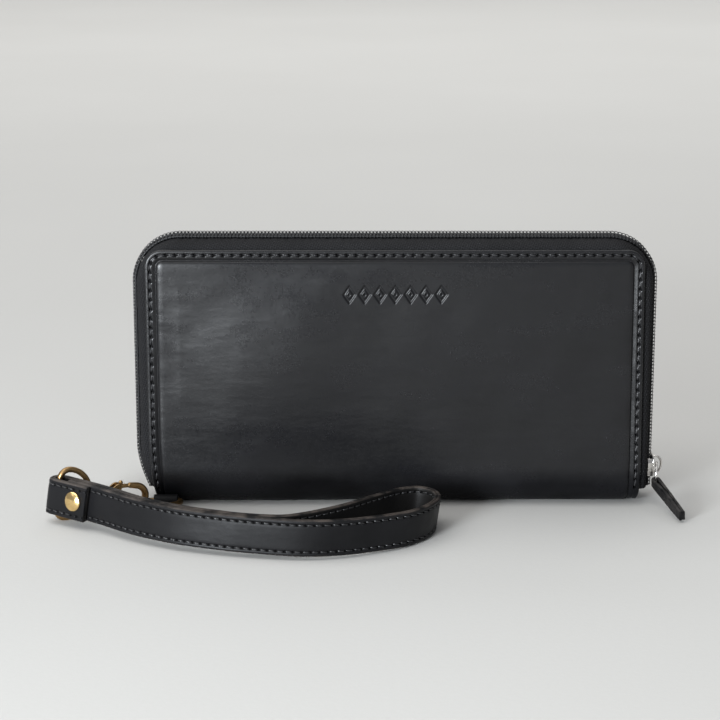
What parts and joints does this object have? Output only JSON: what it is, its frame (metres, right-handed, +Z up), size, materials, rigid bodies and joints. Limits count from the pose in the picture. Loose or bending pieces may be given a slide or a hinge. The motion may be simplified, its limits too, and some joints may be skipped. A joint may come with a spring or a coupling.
{
  "type": "wristlet wallet",
  "caption": "Long zip-around leather wallet on a rounded spine, with card slots, a zipped coin pocket and a folded wrist strap on a swivel clasp.",
  "frame": {"origin": "under the middle of the spine, on its lowest line, halfway through the wallet's thickness", "axes": "+X along the wallet to its right end, +Y from the front face to the back face, +Z up from the spine to the zip"},
  "size_m": [0.2368, 0.0854, 0.1033],
  "materials": {
    "black_leather": "smooth semi-gloss black",
    "inner_leather": "matt black",
    "lining_cloth": "woven black cloth",
    "board_card": "grey stiffener card",
    "zip_tape": "woven black tape",
    "zip_nylon": "black nylon",
    "nickel": "polished nickel",
    "antique_brass": "antique brass",
    "polished_brass": "polished brass"
  },
  "bodies": {
    "wallet": {"leather_front_and_spine": "black_leather", "spine_lining": "lining_cloth", "front_board": "board_card", "front_lining": "lining_cloth", "front_card_panel": "inner_leather", "front_card_slot_1": "inner_leather", "front_card_slot_2": "inner_leather", "front_card_slot_3": "inner_leather", "front_card_slot_4": "inner_leather", "front_gusset_left": "lining_cloth", "front_gusset_right": "lining_cloth", "zip_tape_front": "zip_tape", "zip_coil_front": "zip_nylon", "zip_end_tape_left": "zip_tape", "zip_end_coil_left": "zip_nylon", "zip_end_tape_right": "zip_tape", "zip_end_coil_right": "zip_nylon", "spine_tab": "black_leather"},
    "back_cover": {"leather_back": "black_leather", "back_board": "board_card", "back_lining": "lining_cloth", "back_card_panel": "inner_leather", "back_card_slot_1": "inner_leather", "back_card_slot_2": "inner_leather", "back_card_slot_3": "inner_leather", "back_card_slot_4": "inner_leather", "back_gusset_left": "lining_cloth", "back_gusset_right": "lining_cloth", "zip_tape_back": "zip_tape", "zip_coil_back": "zip_nylon"},
    "coin_pocket": {"coin_wall_front": "lining_cloth", "coin_wall_back": "lining_cloth", "coin_pocket_edge": "lining_cloth", "coin_tape_front": "zip_tape", "coin_tape_back": "zip_tape", "coin_coil_front": "zip_nylon", "coin_coil_back": "zip_nylon"},
    "coin_zip_slider": {"coin_slider": "nickel"},
    "coin_zip_pull": {"coin_pull": "nickel"},
    "main_zip_slider": {"zip_slider": "nickel"},
    "main_pull_ring": {"pull_ring": "nickel"},
    "main_pull_leather": {"leather_pull": "black_leather"},
    "ring": {"spine_ring": "antique_brass"},
    "clasp": {"clasp_hook": "antique_brass", "clasp_gate_pin": "antique_brass"},
    "gate": {"clasp_gate": "antique_brass"},
    "eye": {"swivel_eye": "antique_brass"},
    "strap": {"strap_leather": "black_leather", "strap_lining": "inner_leather", "strap_rivet_cap": "polished_brass", "strap_rivet_back": "polished_brass"}
  },
  "joints": [
    {"name": "back_cover_hinge", "type": "hinge", "parent": "wallet", "child": "back_cover", "pos_m": [0, 0.012, 0.014], "axis": [-1, 0, 0], "range_deg": [0, 75]},
    {"name": "coin_pocket_hinge", "type": "hinge", "parent": "wallet", "child": "coin_pocket", "pos_m": [0, 0.012, 0.014], "axis": [-1, 0, 0], "range_deg": [0, 38]},
    {"name": "main_zip_slide", "type": "slide", "parent": "wallet", "child": "main_zip_slider", "axis": [0, 0, 1], "range_m": [0, 0.06]},
    {"name": "pull_ring_hinge", "type": "hinge", "parent": "main_zip_slider", "child": "main_pull_ring", "pos_m": [0.1002, 0, 0.01368], "axis": [0, -1, 0], "range_deg": [0, 60]},
    {"name": "leather_pull_hinge", "type": "hinge", "parent": "main_pull_ring", "child": "main_pull_leather", "pos_m": [0.1003, -0.00539, 0.00737], "axis": [0, -0.65, 0.76], "range_deg": [-5, 40]},
    {"name": "coin_zip_slide", "type": "slide", "parent": "coin_pocket", "child": "coin_zip_slider", "axis": [-1, 0, 0], "range_m": [0, 0.13]},
    {"name": "coin_pull_hinge", "type": "hinge", "parent": "coin_zip_slider", "child": "coin_zip_pull", "pos_m": [0.0676, 0, 0.08725], "axis": [0, 1, 0], "range_deg": [0, 45]},
    {"name": "ring_hinge", "type": "hinge", "parent": "wallet", "child": "ring", "pos_m": [-0.089, -0.0112, 0.0034], "axis": [-1, 0, 0], "range_deg": [0, 8]},
    {"name": "clasp_swing", "type": "hinge", "parent": "ring", "child": "clasp", "pos_m": [-0.09694, -0.01589, 0.00466], "axis": [0, 0, -1], "range_deg": [0, 25]},
    {"name": "gate_hinge", "type": "hinge", "parent": "clasp", "child": "gate", "pos_m": [-0.10359, -0.01887, 0.01015], "axis": [-0.4079, 0.913, 0], "range_deg": [0, 26], "stiffness_Nm_per_rad": 0.0001},
    {"name": "swivel", "type": "hinge", "parent": "clasp", "child": "eye", "pos_m": [-0.1087, -0.02115, 0.00769], "axis": [-0.902, -0.403, 0.155], "range_deg": [0, 25]},
    {"name": "strap_hinge", "type": "hinge", "parent": "eye", "child": "strap", "pos_m": [-0.12448, -0.0282, 0.0104], "axis": [-0.1415, -0.0632, -0.9879], "range_deg": [0, 35]}
  ],
  "couplings": [
    {"joint": "coin_pocket_hinge", "follows": "back_cover_hinge", "ratio": 0.5}
  ]
}
